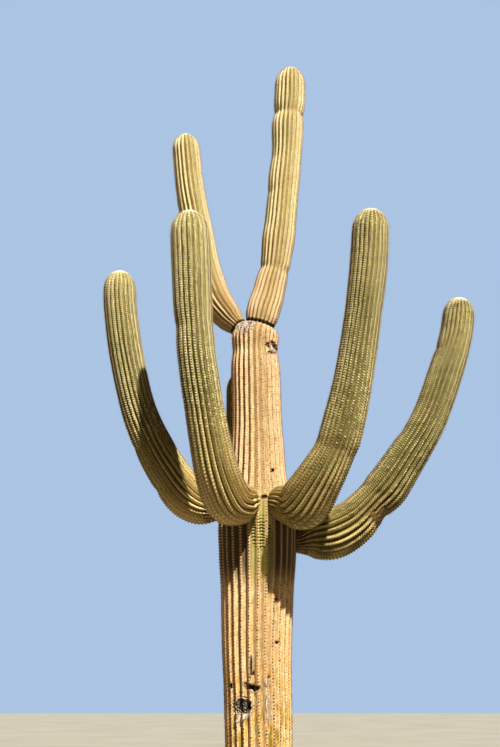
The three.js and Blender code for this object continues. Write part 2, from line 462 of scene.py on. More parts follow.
class SaguaroSizes(bpy.types.PropertyGroup):
    """Sizes that shape the skin and what grows on it."""

    pad_spacing: length_of(
        "Pad spacing", "Distance between spine pads along an arm's rib", 0.021
    )
    trunk_pad_spacing: length_of(
        "Trunk pad spacing", "Distance between spine pads along a rib of the trunk", 0.0232
    )
    arm_groove: share_of(
        "Arm groove", "Depth of the arms' grooves as a share of the ribs' spacing", 0.82
    )
    trunk_groove: share_of(
        "Trunk groove", "Depth of the trunk's grooves as a share of the ribs' spacing", 0.60
    )
    bead: length_of("Bead", "How far the crest swells at each spine pad", 0.0029)
    pad_radius: length_of("Pad radius", "Half the width of a felted spine pad", 0.0070)
    ray_spine: length_of(
        "Ray spine", "Length of the short spines that lie round a pad", 0.0065
    )
    middle_spine: length_of(
        "Middle spine", "Length of the long spines that stand out of a pad", 0.017
    )
    spine_thickness: length_of("Spine thickness", "Radius of a spine at its foot", 0.0007)


class SaguaroColours(bpy.types.PropertyGroup):
    """Colours of the skin and its wounds."""

    # The arms' groove colour is darker skin made near black as painted shade deep in the grooves.
    arm_groove: colour_of("Arm groove", "Skin deep in the arms' grooves", 0.024, 0.017, 0.004)
    arm_flank: colour_of("Arm flank", "Skin on the flanks of the arms' ribs", 0.285, 0.285, 0.090)
    arm_crest: colour_of("Arm crest", "Weathered skin on the arms' crests", 0.70, 0.60, 0.32)
    leader_groove: colour_of(
        "Leader groove", "Skin deep in the upper limbs' grooves", 0.30, 0.22, 0.085
    )
    leader_flank: colour_of(
        "Leader flank", "Skin on the flanks of the upper limbs' ribs", 0.52, 0.485, 0.255
    )
    leader_crest: colour_of(
        "Leader crest", "Weathered skin on the upper limbs' crests", 0.68, 0.60, 0.39
    )
    # The trunk's groove colour is darker skin, deepened as painted shade in the grooves.
    trunk_groove: colour_of("Trunk groove", "Skin deep in the trunk's grooves", 0.17, 0.155, 0.055)
    trunk_flank: colour_of("Trunk flank", "Skin on the flanks of the trunk's ribs", 0.58, 0.56, 0.36)
    trunk_crest: colour_of("Trunk crest", "Weathered skin on the trunk's crests", 0.62, 0.43, 0.275)
    # Lit skin is the tone of the sunlit tongue between the front arms, which the painted shade
    # leaves out.
    lit_skin: colour_of("Lit skin", "Green skin that the sun reaches between arms", 0.34, 0.32, 0.10)
    # Painted shade: the shadow that the arms cast on the trunk, painted as dark olive skin.
    shaded_skin: colour_of(
        "Shaded skin", "Olive skin between the arms, which no sun has bleached", 0.085, 0.062, 0.023
    )
    # Green skin is partly painted shade, darkest towards the grooves of the limbs in GREENNESS.
    green_skin: colour_of(
        "Green skin", "Deep olive flanks of the arms that are bleached least", 0.150, 0.138, 0.030
    )
    # Browned skin of the bends, made pale on their crests as painted light where the lamp leaves the
    # bends in shade.
    old_skin: colour_of("Old skin", "Browned skin of the arms' bends", 0.74, 0.555, 0.27)
    rust: colour_of("Rust", "Dark flecks on the trunk", 0.24, 0.13, 0.045)
    amber: colour_of("Amber", "Orange patches low on the trunk", 0.66, 0.33, 0.05)
    moss: colour_of("Moss", "Olive growth near the trunk's foot", 0.26, 0.20, 0.010)
    cork: colour_of("Cork", "Brown cork on necks, scabs and the trunk's foot", 0.120, 0.080, 0.028)
    callus: colour_of("Callus", "Pale grey callus round the wounds", 0.62, 0.50, 0.41)
    # The hollow colour is near black painted shade deep in the wounds.
    hollow: colour_of("Hollow", "Near black inside of the wounds", 0.010, 0.008, 0.006)
    torn_wood: colour_of("Torn wood", "Grey fibres in the wounds", 0.58, 0.53, 0.46)
    wool: colour_of("Wool", "Cream wool and young spines on the tips", 0.95, 0.90, 0.74)


class Form:
    """A ribbed skin worked out as arrays, with the numbers that spines and colours need."""

    def __init__(self, points, crest, ribs):
        self.points = points
        self.crest = np.broadcast_to(crest, points.shape[:2])
        self.ribs = ribs
        for key in SKIN_NUMBERS:
            setattr(self, key, np.zeros(points.shape[:2]))
        self.bare = np.zeros(points.shape[:2], dtype=bool)


def sizes():
    """The sizes that the user may change."""
    return bpy.context.scene.saguaro_sizes


def colours():
    """The colours that the user may change."""
    return bpy.context.scene.saguaro_colours


def seed_of(name):
    """A seed for a limb's own unevenness: the sum of its name's letters."""
    return sum(map(ord, name))


def unit(vectors):
    """Each vector divided by its own length."""
    return vectors / np.linalg.norm(vectors, axis=-1, keepdims=True)


def running(steps):
    """The running sum of some steps, from 0 on."""
    return np.concatenate([[0], np.cumsum(steps)])


def swing(turn, first, second):
    """The vector at an angle from one vector towards another that is square to it."""
    return np.cos(turn)[..., None] * first + np.sin(turn)[..., None] * second


def smooth(share):
    """A smooth step: 0 up to 0, 1 from 1 on, and 3s^2 - 2s^3 between."""
    held = np.clip(share, 0, 1)
    return held * held * (3 - 2 * held)


def through(stations, t):
    """The Catmull-Rom cubic through the stations at each t, which counts stations.

    Between two stations it is half of 2b + (c - a)u + (2a - 5b + 4c - d)u^2
    + (3b - a - 3c + d)u^3, where a, b, c and d are the two stations on either side.
    """
    points = np.asarray(stations, dtype=float)
    first = 2 * points[0] - points[1]
    beyond = 2 * points[-1] - points[-2]
    padded = np.vstack([first, points, beyond])
    span = np.clip(t.astype(int), 0, len(points) - 2)
    u = (t - span)[:, None]
    a, b, c, d = (padded[span + k] for k in range(4))
    square = 2 * a - 5 * b + 4 * c - d
    cube = 3 * b - a - 3 * c + d
    return 0.5 * (2 * b + (c - a) * u + square * u**2 + cube * u**3)


def ripple(along, around, seed, pitch):
    """Gentle unevenness between -1 and 1: four sine waves of about one pitch, mixed by seed.

    around is an angle, and each wave goes a whole number of times round, so that it closes.
    """
    rng = np.random.default_rng(seed)
    total = np.zeros(np.broadcast(along, around).shape)
    for turns in (1, 2, 3, 5):
        waves = rng.uniform(0.7, 1.6) * 2 * math.pi / pitch
        start, shift = rng.uniform(0, 2 * math.pi, 2)
        total += np.sin(waves * along + start + turns * around) * np.cos(turns * around + shift)
    return total / 4


def uneven(size_and_pitch, along, around, seed):
    """A ripple of a given size and pitch."""
    size, pitch = size_and_pitch
    return size * ripple(along, around, seed, pitch)


def rib_angles(ribs, seed):
    """The angle of every column: crests at slightly uneven spacings, columns shared between."""
    rng = np.random.default_rng(seed)
    widths = 1 + RIB_UNEVENNESS * rng.uniform(-1, 1, ribs)
    edges = running(widths) * 2 * math.pi / widths.sum()
    shares = np.asarray(RIB_COLUMNS)
    spans = edges[:-1, None] + shares[None, :] * np.diff(edges)[:, None]
    return spans.ravel()


def rib_profile(ribs):
    """How far each column lies down its rib's flank: 0 on the crest, 1 in the groove.

    With q the share of the way to the nearest crest, it is (1 - cos(pi q)) to the power 0.85,
    which rounds the crest and leaves the groove a narrow V.
    """
    shares = np.asarray(RIB_COLUMNS)
    nearest = np.minimum(shares, 1 - shares)
    return np.tile((1 - np.cos(math.pi * nearest)) ** 0.85, ribs)


def beads(rows, ribs):
    """1 on the crest where a spine pad sits, -1 midway to the next one, 0 down the flanks: pads
    sit on every second row, turn about by rib.
    """
    shares = np.asarray(RIB_COLUMNS)
    nearest = np.minimum(shares, 1 - shares)
    near_crest = np.tile(np.clip(1 - nearest / BEAD_REACH, 0, 1), ribs)
    rib = np.repeat(np.arange(ribs), len(shares))
    row = np.arange(rows)
    turn = np.where((row[:, None] + rib[None, :]) % 2 == 0, 1.0, -1.0)
    return turn * near_crest


def limb_sections(name):
    """Sections of a limb at even steps: centre, two directions across, radius, share of dome,
    length from the root, and place counted in stations.

    The last stretch is the dome: at the share u of its length the radius is the limb's times
    (1 - u^2.3)^(1/2.1), and u is the sine of evenly spaced angles, so that rows stay even.
    """
    stations = [(*row, 1.0)[:5] for row in LIMBS[name]["stations"]]
    t = np.linspace(0, len(stations) - 1, LIMB_PLACES)
    fine = through(stations, t)
    run = running(np.linalg.norm(np.diff(fine[:, :3], axis=0), axis=1))
    tip_radius = stations[-1][3]
    dome = DOME_LENGTH * tip_radius
    step = sizes().pad_spacing / 2
    body = np.arange(0, run[-1] - dome, step)
    turns = np.linspace(0, math.pi / 2, int(1.15 * math.pi / 2 * tip_radius / step))
    rise = np.sin(turns)
    length = np.concatenate([body, run[-1] - dome + dome * rise])
    share = np.concatenate([np.zeros(len(body)), rise])
    place = np.interp(length, run, t)
    at = through(stations, place)
    ahead = through(stations, np.interp(np.minimum(length + HEADING_STEP, run[-1]), run, t))
    behind = through(stations, np.interp(length - HEADING_STEP, run, t))
    heading = unit(ahead[:, :3] - behind[:, :3])
    reach = np.asarray(stations[-1][:3]) - np.asarray(stations[0][:3])
    side = unit(np.array([-reach[1], reach[0], 0.0]))
    across = unit(side - (heading @ side)[:, None] * heading)
    along = at[:, 4:5] * np.cross(heading, across)
    radius = at[:, 3] * np.clip(1 - share**DOME_BLUNTNESS, 0, 1) ** (1 / DOME_CLOSING)
    return at[:, :3], across, along, radius, share, length, place


def ring_shares(name, length, place, angle):
    """How deep the limb's constrictions press each point in, and how corky they make it.

    Each is a bell curve along the limb, exp(-(distance / half length)^2), times another round
    it, exp(-(angle / half angle)^4), which is left out for one that goes all the way round.
    """
    depth = np.zeros(angle.shape)
    cork = np.zeros(angle.shape)
    for where, deep, half, facing, spread, corky in RINGS.get(name, ()):
        middle = np.interp(where, place, length)
        bell = np.exp(-(((length[:, None] - middle) / half) ** 2))
        apart = (np.degrees(angle) - facing + 180) % 360 - 180
        window = 1.0 if spread >= 360 else np.exp(-((apart / spread) ** 4))
        depth += deep * bell * window
        cork = np.maximum(cork, corky * bell * window)
    return depth, cork


def limb_cork(name, length, profile, corky):
    """How corky a limb is: its neck, most of all in the grooves, its scabs, and the seam round
    an upper limb's foot, which counts twice where a near black painted shadow lies under the foot.
    """
    neck = smooth((CORKY_REACH[name] + 0.04 - length) / 0.08)
    # The near black part of the seam is painted shadow under the limb's foot.
    black = smooth((SEAM_AND_SHADOW.get(name, 0.0) - length) / 0.012)
    seam = smooth((SEAM_AND_SHADOW.get(name, 0.0) + 0.007 - length) / 0.012)
    cork = np.maximum(np.maximum(neck * (0.40 + 0.60 * profile), seam), corky)
    return cork + seam * black


@functools.cache
def limb_form(name):
    """A limb's skin: at each row the radius at the crests less the groove's depth times the
    rib profile and less the constrictions, swollen by the beads and an uneven ripple. Where a
    constriction is corky, the ribs give way to a smooth patch.
    """
    ribs = LIMBS[name]["ribs"]
    seed = seed_of(name)
    centre, across, along, radius, share, length, place = limb_sections(name)
    straight = rib_angles(ribs, seed)[None, :]
    angle = straight + uneven(LIMB_WANDER, length[:, None], straight, seed + 1)
    pressed, corky = ring_shares(name, length, place, angle)
    radius, share, length = (values[:, None] for values in (radius, share, length))
    profile = rib_profile(ribs)[None, :]
    lumps = 1 + uneven(LIMB_LUMPS, length, angle, seed + 2)
    depth = sizes().arm_groove * 2 * math.pi * radius / ribs
    fade = np.clip(radius / 0.06, 0, 1)
    flat = smooth((corky - 0.50) / 0.25)
    ribbed = profile * (1 - flat) + 0.25 * flat
    swelling = beads(len(radius), ribs)
    reach = radius * lumps - depth * ribbed - fade * pressed
    reach = reach + fade * sizes().bead * swelling
    spoke = swing(angle, across[:, None, :], along[:, None, :])
    points = centre[:, None, :] + reach[:, :, None] * spoke
    form = Form(points, 1 - profile, ribs)
    form.youth[:] = smooth((share - 0.80) / 0.16)
    # The share between two pads, where a limb's crest gets the painted shadow of its pads and
    # spines.
    form.gap[:] = smooth(-4 * swelling) * (1 - form.youth)
    form.green[:] = GREENNESS.get(name, 0)
    form.age[:] = 1 - length / length[-1]
    form.cork[:] = limb_cork(name, length, profile, corky)
    form.bare[:] = (length < ROOT_BARE) | (form.cork > CORKY_BARE)
    form.bare[-2:] = True
    return form


def trunk_wander(height, angle):
    """How far the trunk's ribs wander sideways, as an angle."""
    return uneven(TRUNK_WANDER, height, angle, TRUNK_SEED + 1)


def trunk_reach(height, angle, radius):
    """The distance of the trunk's skin from its middle line, without beads or wounds: the
    radius with a slight ripple, less the groove's depth times the rib profile.
    """
    ring = rib_angles(TRUNK_RIBS, TRUNK_SEED)
    straight = angle - trunk_wander(height, angle)
    profile = np.interp(straight, ring, rib_profile(TRUNK_RIBS), period=2 * math.pi)
    lumps = 1 + uneven(TRUNK_LUMPS, height, angle, TRUNK_SEED + 2)
    depth = sizes().trunk_groove * 2 * math.pi * radius / TRUNK_RIBS
    return radius * lumps - depth * profile, profile


def wound_distance(x, z, wound):
    """How far points are from a wound's middle: 1 on its edge, an ellipse tilted and bent.

    A wound narrower than the skin's own points lie apart counts as so wide.
    """
    middle_x, middle_z, half_width, half_height, _, _, tilt, bend = wound
    half_width = max(half_width, LEAST_WOUND)
    half_height = max(half_height, LEAST_WOUND)
    s = (x - middle_x) / half_width
    line = middle_z + half_width * (tilt * s + bend * (s * s - 0.5))
    return np.hypot(s, (z - line) / half_height)


def wound_shares(x, y, z):
    """How deep the wounds press the trunk's skin in, and how scarred it is round them."""
    depth = np.zeros(x.shape)
    scar = np.zeros(x.shape)
    for wound in WOUNDS.values():
        distance = np.where(y < 0, wound_distance(x, z, wound), 9.0)
        if wound[4] > 0:
            depth = np.maximum(depth, (wound[4] + 0.007) * smooth((0.98 - distance) / 0.25))
        scar = np.maximum(scar, 0.5 * smooth((1.45 - distance) / 0.35))
    return depth, scar


@functools.cache
def trunk_line():
    """Height, radius, lean and fall of the trunk at many places from its foot to its top."""
    fine = through(TRUNK_SECTIONS, np.linspace(0, len(TRUNK_SECTIONS) - 1, TRUNK_PLACES))
    fine[:, 1] = np.maximum(fine[:, 1], 0)
    return fine.T


@functools.cache
def trunk_form():
    """The trunk's skin: sections at even steps up its side and over its shoulder, each tilted
    by its fall, pressed in where the wounds are and lumpy where its shoulder is scarred.
    """
    line = trunk_line()
    run = running(np.linalg.norm(np.diff(line[:2], axis=1), axis=0))
    length = np.arange(0, run[-1], sizes().trunk_pad_spacing / 2)
    height, radius, lean, fall = (np.interp(length, run, values)[:, None] for values in line)
    straight = rib_angles(TRUNK_RIBS, TRUNK_SEED)[None, :]
    angle = straight + trunk_wander(height, straight)
    reach, profile = trunk_reach(height, angle, radius)
    x = lean + reach * np.cos(angle)
    y = reach * np.sin(angle)
    away = np.sqrt(sum((part - at) ** 2 for part, at in zip((x, y, height), CROWN_WOUND)))
    crown = smooth(1.6 - 1.6 * away / CROWN_WOUND_RADIUS)
    lumps = 0.006 * crown * ripple(8 * height, 9 * np.round(angle, 4), TRUNK_SEED + 3, 0.25)
    pressed, scar = wound_shares(x, y, height)
    fade = np.clip(radius / 0.1, 0, 1)
    swelling = beads(len(length), TRUNK_RIBS)
    reach = reach + fade * (1 - crown) * TRUNK_BEAD * sizes().bead * swelling
    reach = reach - pressed + lumps
    x = lean + reach * np.cos(angle)
    y = reach * np.sin(angle)
    z = np.maximum(height - fall * (x - lean), 0)
    form = Form(np.stack([x, y, z], axis=-1), 1 - profile, TRUNK_RIBS)
    form.wound[:] = np.maximum(scar, crown)
    form.gap[:] = smooth(-1.5 * swelling)
    form.cork[:] = smooth(0.75 - z / 0.8)
    # Painted shade: the arms' shadow on the trunk between the SHADED heights is painted dark, all
    # but the sunlit tongue between the front arms, which gets its own tone.
    shaded = smooth((z - SHADED[0]) / SHADE_EDGE) * smooth((SHADED[1] - z) / SHADE_EDGE)
    lit = np.where(y < 0, smooth(2 - np.abs(x - TONGUE_MIDDLE) / TONGUE_HALF_WIDTH), 0)
    form.age[:] = shaded * (1 - lit)
    form.green[:] = shaded * lit
    folds = np.hypot((x - FOLDS[0]) / FOLDS[2], (z - FOLDS[1]) / FOLDS[3])
    form.fold[:] = np.where(y < 0, smooth((1.1 - folds) / 0.4), 0)
    form.bare[:] = (z < FOOT_BARE) | (form.wound > SCARRED_BARE)
    form.bare[-8:] = True
    return form


def grid_faces(rows, columns):
    """Quads over a grid whose columns close into a ring, facing out."""
    low = np.arange(rows - 1)[:, None] * columns
    here = np.arange(columns)[None, :]
    after = (here + 1) % columns
    corners = (low + here, low + after, low + columns + after, low + columns + here)
    return np.stack(corners, axis=-1).reshape(-1, 4)


def cap_faces(ring, middle, outward_up):
    """Triangles from a ring of points to a middle one."""
    after = np.roll(ring, -1)
    centre = np.full(len(ring), middle)
    order = (ring, after, centre) if outward_up else (after, ring, centre)
    return np.stack(order, axis=-1)


def new_mesh(name, points, faces, floats=None):
    """A mesh object from arrays: points, a list of face arrays of one width each, and named
    numbers for each point.
    """
    mesh = bpy.data.meshes.new(name)
    mesh.vertices.add(len(points))
    mesh.vertices.foreach_set("co", np.ascontiguousarray(points, dtype=np.float32).ravel())
    corners = np.concatenate([block.ravel() for block in faces])
    widths = np.concatenate([np.full(len(block), block.shape[1]) for block in faces])
    mesh.loops.add(len(corners))
    mesh.loops.foreach_set("vertex_index", corners.astype(np.int32))
    mesh.polygons.add(len(widths))
    mesh.polygons.foreach_set("loop_start", (np.cumsum(widths) - widths).astype(np.int32))
    for key, values in (floats or {}).items():
        attribute = mesh.attributes.new(key, "FLOAT", "POINT")
        attribute.data.foreach_set("value", np.ascontiguousarray(values, dtype=np.float32).ravel())
    mesh.update(calc_edges=True)
    piece = bpy.data.objects.new(name, mesh)
    bpy.context.scene.collection.objects.link(piece)
    return piece


def settle(piece, materials, nodes=()):
    """Gives a piece its materials, hides the solids that it stands for, and ties it to the plant."""
    for material in materials:
        piece.data.materials.append(material)
    if nodes:
        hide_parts(*nodes)
    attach(piece, "root")
    return piece


def closed_skin(name, grid, foot, tip, floats):
    """A closed mesh over a grid of rows and ring-shaped columns: the grid, and a fan of
    triangles to a middle point at each end. The ends take the first number of their row.
    """
    rows, columns, _ = grid.shape
    points = np.vstack([grid.reshape(-1, 3), foot, tip])
    ring = np.arange(columns)
    faces = [
        grid_faces(rows, columns),
        cap_faces(ring, rows * columns, outward_up=False),
        cap_faces(ring + (rows - 1) * columns, rows * columns + 1, outward_up=True),
    ]
    numbers = {
        key: np.concatenate([values.ravel(), values[0, :1], values[-1, :1]])
        for key, values in floats.items()
    }
    piece = new_mesh(name, points, faces, numbers)
    piece.data.shade_smooth()
    return piece


def skin_piece(name, form, material, nodes):
    """The skin that stands for some of the plant's solids."""
    floats = {key: getattr(form, key) for key in ("crest", *SKIN_NUMBERS)}
    foot = form.points[0].mean(axis=0)
    tip = form.points[-1].mean(axis=0)
    return settle(closed_skin(name, form.points, foot, tip, floats), [material], nodes)


def toned_piece(name, arrays, materials):
    """Many small shapes joined, with a material for each tone."""
    points, faces, tones = arrays
    piece = settle(new_mesh(name, points, [faces]), materials)
    piece.data.polygons.foreach_set("material_index", tones.astype(np.int32))
    return piece


class Nodes:
    """A short way to write a material's nodes."""

    def __init__(self, name):
        self.material = bpy.data.materials.new(name)
        self.material.use_nodes = True
        self.tree = self.material.node_tree
        self.shader = self.tree.nodes["Principled BSDF"]
        self.place = self.add("ShaderNodeTexCoord").outputs["Object"]

    def add(self, kind, **settings):
        """A new node with its settings."""
        node = self.tree.nodes.new(kind)
        for key, value in settings.items():
            setattr(node, key, value)
        return node

    def feed(self, socket, value):
        """Links a socket to another's output, or sets it to a number or colour."""
        if isinstance(value, bpy.types.NodeSocket):
            self.tree.links.new(value, socket)
        elif isinstance(value, (int, float)):
            socket.default_value = value
        else:
            socket.default_value = (*value, 1)

    def number(self, name):
        """The mesh's named number for each point."""
        return self.add("ShaderNodeAttribute", attribute_name=name).outputs["Fac"]

    def height(self):
        """The height above the ground."""
        node = self.add("ShaderNodeSeparateXYZ")
        self.feed(node.inputs["Vector"], self.place)
        return node.outputs["Z"]

    def noise(self, scale, detail=4.0, stretch=(1, 1, 1)):
        """Noise on the object's own coordinates, drawn out along an axis by stretch."""
        mapping = self.add("ShaderNodeMapping")
        mapping.inputs["Scale"].default_value = stretch
        self.feed(mapping.inputs["Vector"], self.place)
        node = self.add("ShaderNodeTexNoise")
        self.feed(node.inputs["Vector"], mapping.outputs["Vector"])
        self.feed(node.inputs["Scale"], scale)
        self.feed(node.inputs["Detail"], detail)
        return node.outputs["Fac"]

    def cells(self, scale):
        """The distance to the nearest edge between irregular cells."""
        node = self.add("ShaderNodeTexVoronoi", feature="DISTANCE_TO_EDGE")
        self.feed(node.inputs["Vector"], self.place)
        self.feed(node.inputs["Scale"], scale)
        return node.outputs["Distance"]

    def ramp(self, source, stops):
        """A colour for each place of the source between 0 and 1."""
        node = self.add("ShaderNodeValToRGB")
        elements = node.color_ramp.elements
        while len(elements) < len(stops):
            elements.new(0.5)
        for element, (position, colour) in zip(elements, stops):
            element.position = position
            element.color = (*colour, 1)
        self.feed(node.inputs["Fac"], source)
        return node.outputs["Color"]

    def level(self, source, low, high, bottom=0.0, top=1.0):
        """The source spread from low..high to bottom..top, and held there."""
        node = self.add("ShaderNodeMapRange")
        values = (("From Min", low), ("From Max", high), ("To Min", bottom), ("To Max", top))
        for key, value in (*values, ("Value", source)):
            self.feed(node.inputs[key], value)
        return node.outputs["Result"]

    def spread(self, name, low, high, bottom=0.0, top=1.0):
        """The mesh's named number, spread as level spreads a source."""
        return self.level(self.number(name), low, high, bottom, top)

    def flecks(self, scale, detail, tall, start, full, most):
        """A share that a noise, drawn out upwards, raises from 0 at its start to the most."""
        return self.level(self.noise(scale, detail, (1, 1, tall)), start, full, 0.0, most)

    def math(self, operation, *values):
        """A sum, product or other function of numbers."""
        node = self.add("ShaderNodeMath", operation=operation)
        for socket, value in zip(node.inputs, values):
            self.feed(socket, value)
        return node.outputs["Value"]

    def times(self, *values):
        """The product of two or more numbers."""
        return functools.reduce(functools.partial(self.math, "MULTIPLY"), values)

    def mix(self, share, first, second):
        """Two colours mixed by a share that may vary."""
        node = self.add("ShaderNodeMix", data_type="RGBA")
        for key, value in (("Factor", share), ("A", first), ("B", second)):
            self.feed(next(s for s in node.inputs if s.name == key and s.enabled), value)
        return next(s for s in node.outputs if s.enabled)

    def ragged(self, source, grain):
        """A share that the source gives, with its edges torn by a grain."""
        torn = self.math("ADD", source, self.level(grain, 0.3, 0.7, -0.4, 0.4))
        return self.level(torn, 0.38, 0.62)

    def finish(self, colour, roughness, bumps):
        """Colour, roughness and relief to the shader. bumps lists source, depth pairs."""
        self.feed(self.shader.inputs["Base Color"], colour)
        self.feed(self.shader.inputs["Roughness"], roughness)
        normal = None
        for source, depth in bumps:
            node = self.add("ShaderNodeBump")
            node.inputs["Strength"].default_value = 1.0
            node.inputs["Distance"].default_value = depth
            self.feed(node.inputs["Height"], source)
            if normal:
                self.feed(node.inputs["Normal"], normal)
            normal = node.outputs["Normal"]
        if normal:
            self.feed(self.shader.inputs["Normal"], normal)
        return self.material


def shade(colour, factor):
    """The colour made darker or lighter by a factor."""
    return tuple(min(channel * factor, 1.0) for channel in colour)


def shades(colour, *stops):
    """Stops for a ramp in one colour, each a place and a factor."""
    return tuple((place, shade(colour, factor)) for place, factor in stops)


def skin_tones(kind):
    """Groove, flank and crest colours of the trunk, the upper limbs or the arms."""
    return [getattr(colours(), f"{kind}_{place}") for place in ("groove", "flank", "crest")]


def ribbed(nodes, kind):
    """The skin's own colour: groove, flank and crest colours by the height up the rib, paler on
    an arm's young end, and blotched.
    """
    groove, flank, crest = skin_tones(kind)
    low, high = SKINS[kind]["flank"], SKINS[kind]["crest"]
    # The groove colour is partly painted shade: near black on the arms, darkened on the trunk.
    stops = ((0.12, groove), (low, flank), (0.46, flank), (high, crest))
    base = nodes.ramp(nodes.number("crest"), stops)
    if kind == "arm":
        base = nodes.mix(nodes.spread("age", 0.0, 0.30, 0.80, 0.0), base, shade(crest, 1.35))
    blotches = nodes.flecks(2.6, 5.0, 1.0, 0.38, 0.66, 0.55)
    return nodes.mix(blotches, base, nodes.mix(0.5, base, crest))


def flecked(nodes, base, kind):
    """The skin with its flecks laid over it, and the share of the fine striae among them."""
    groove, flank, crest = skin_tones(kind)
    on_trunk = kind == "trunk"
    tones = {"flank": flank, "crest": crest, "fleck": colours().rust if on_trunk else groove}
    shares = {}
    for name, (tone, factor, *noise, trunk_most, limb_most) in FLECKS.items():
        shares[name] = nodes.flecks(*noise, trunk_most if on_trunk else limb_most)
        base = nodes.mix(shares[name], base, shade(tones[tone], factor))
    return base, shares["striae"]


def weathered_and_shaded(nodes, base):
    """The trunk's skin with amber patches and moss low down, with a greener tone on the sunlit
    tongue between the front arms, and with painted shade, a dark olive, where the arms' shadow
    falls.
    """
    tones = colours()
    amber = nodes.flecks(46.0, 4.0, 0.28, 0.51, 0.57, 0.75)
    sides = nodes.spread("crest", 0.15, 0.55, 0.30, 1.0)
    low = nodes.level(nodes.height(), 1.5, 2.4, 1.0, 0.15)
    base = nodes.mix(nodes.times(amber, sides, low), base, tones.amber)
    moss = nodes.flecks(28.0, 5.0, 0.45, 0.49, 0.56, 0.85)
    lowest = nodes.level(nodes.height(), 1.25, 1.85, 1.0, 0.0)
    base = nodes.mix(nodes.times(lowest, moss), base, tones.moss)
    base = nodes.mix(nodes.times(nodes.number("green"), 0.8), base, tones.lit_skin)
    # Painted shade where the arms' shadow falls on the trunk.
    return nodes.mix(nodes.times(nodes.number("age"), 0.9), base, tones.shaded_skin)


def aged_with_painted_light_and_shade(nodes, base, kind):
    """A limb's skin browned on its ribs towards its root, lightened on an arm's bends as painted
    light, and greener, darker and banded on the limbs in GREENNESS, partly as painted shade.
    """
    tones = colours()
    start, most = SKINS[kind]["browned"]
    # On an arm the browned tone is also painted light on the crests of the bends.
    browned = tones.old_skin if kind == "arm" else tones.trunk_crest
    raised = nodes.spread("crest", 0.20, 0.60, 0.08, 1.0)
    old = nodes.times(nodes.spread("age", start, 0.85, 0.0, most), raised)
    base = nodes.mix(old, base, browned)
    bands = nodes.level(nodes.noise(8.0, 4.0, (0.6, 0.6, 2.4)), 0.50, 0.60, 0.0, 0.75)
    banded = nodes.times(bands, nodes.number("green"))
    base = nodes.mix(banded, base, shade(tones.arm_flank, 0.4))
    # Painted shade: the deep olive lies mostly towards the grooves of the limbs that catch less
    # light.
    green = nodes.times(
        nodes.number("green"),
        nodes.spread("age", 0.06, 0.38, 0.10, 1.0),
        nodes.spread("crest", 0.45, 0.80, 1.0, 0.35),
        nodes.spread("crest", 0.10, 0.36),
    )
    return nodes.mix(green, base, tones.green_skin)


def beaded(nodes, base, kind):
    """The skin with another tone on the crests between the pads: paler on the trunk, and on the
    limbs a near black painted shadow of the pads and spines, less of it on an arm's old end.
    """
    tones = colours()
    # On the limbs this tone is a near black painted shadow of the pads and spines.
    between = shade(tones.trunk_crest, 1.4) if kind == "trunk" else shade(tones.cork, 0.2)
    gaps = nodes.spread("gap", 0.08, 0.45, 0.0, SKINS[kind]["gap"])
    if kind == "arm":
        gaps = nodes.times(gaps, nodes.spread("age", 0.55, 0.85, 1.0, 0.5))
    return nodes.mix(gaps, base, between)


def folded(nodes, base):
    """The skin with painted shade in the troughs of folds across its flanks where it is squeezed,
    and the folds' wave: a sine of the height, bent by a noise and by the height up the rib, and
    broken by another.
    """
    rise = nodes.times(nodes.height(), 2 * math.pi / FOLD_PITCH)
    bent = nodes.math("MULTIPLY_ADD", nodes.noise(9.0, 3.0), 9.0, rise)
    fold = nodes.times(
        nodes.math("SINE", nodes.math("MULTIPLY_ADD", nodes.number("crest"), 3.5, bent)),
        nodes.number("fold"),
        nodes.level(nodes.noise(26.0, 3.0), 0.38, 0.56, 0.25, 1.0),
        nodes.spread("crest", 0.95, 0.60, 0.15, 1.0),
    )
    # Painted shade in the folds' troughs.
    dark = nodes.level(fold, -0.12, -0.55, 0.0, 0.95)
    return nodes.mix(dark, base, shade(colours().arm_groove, 0.35)), fold


def corked(nodes, base, grain):
    """The skin with ragged cork on it, and a near black painted shadow in the seams under the upper
    limbs' feet.
    """
    cork = colours().cork
    bark = nodes.ramp(grain, shades(cork, (0.32, 0.45), (0.66, 2.0)))
    base = nodes.mix(nodes.ragged(nodes.number("cork"), grain), base, bark)
    # Painted shadow: near black where the seam counts twice.
    return nodes.mix(nodes.spread("cork", 1.2, 1.9, 0.0, 0.92), base, shade(cork, 0.15))


def scarred(nodes, base, grain):
    """The skin with cracked callus on it, the callus's grain and the share of its cracks."""
    tones = colours()
    coarse = nodes.noise(75.0, 6.0)
    callus = nodes.ramp(coarse, shades(tones.callus, (0.36, 0.4), (0.52, 1.0), (0.70, 1.3)))
    cracks = nodes.level(nodes.cells(44.0), 0.03, 0.11, 0.95, 0.0)
    scar = nodes.mix(cracks, callus, shade(tones.cork, 0.25))
    return nodes.mix(nodes.ragged(nodes.number("wound"), grain), base, scar), coarse, cracks


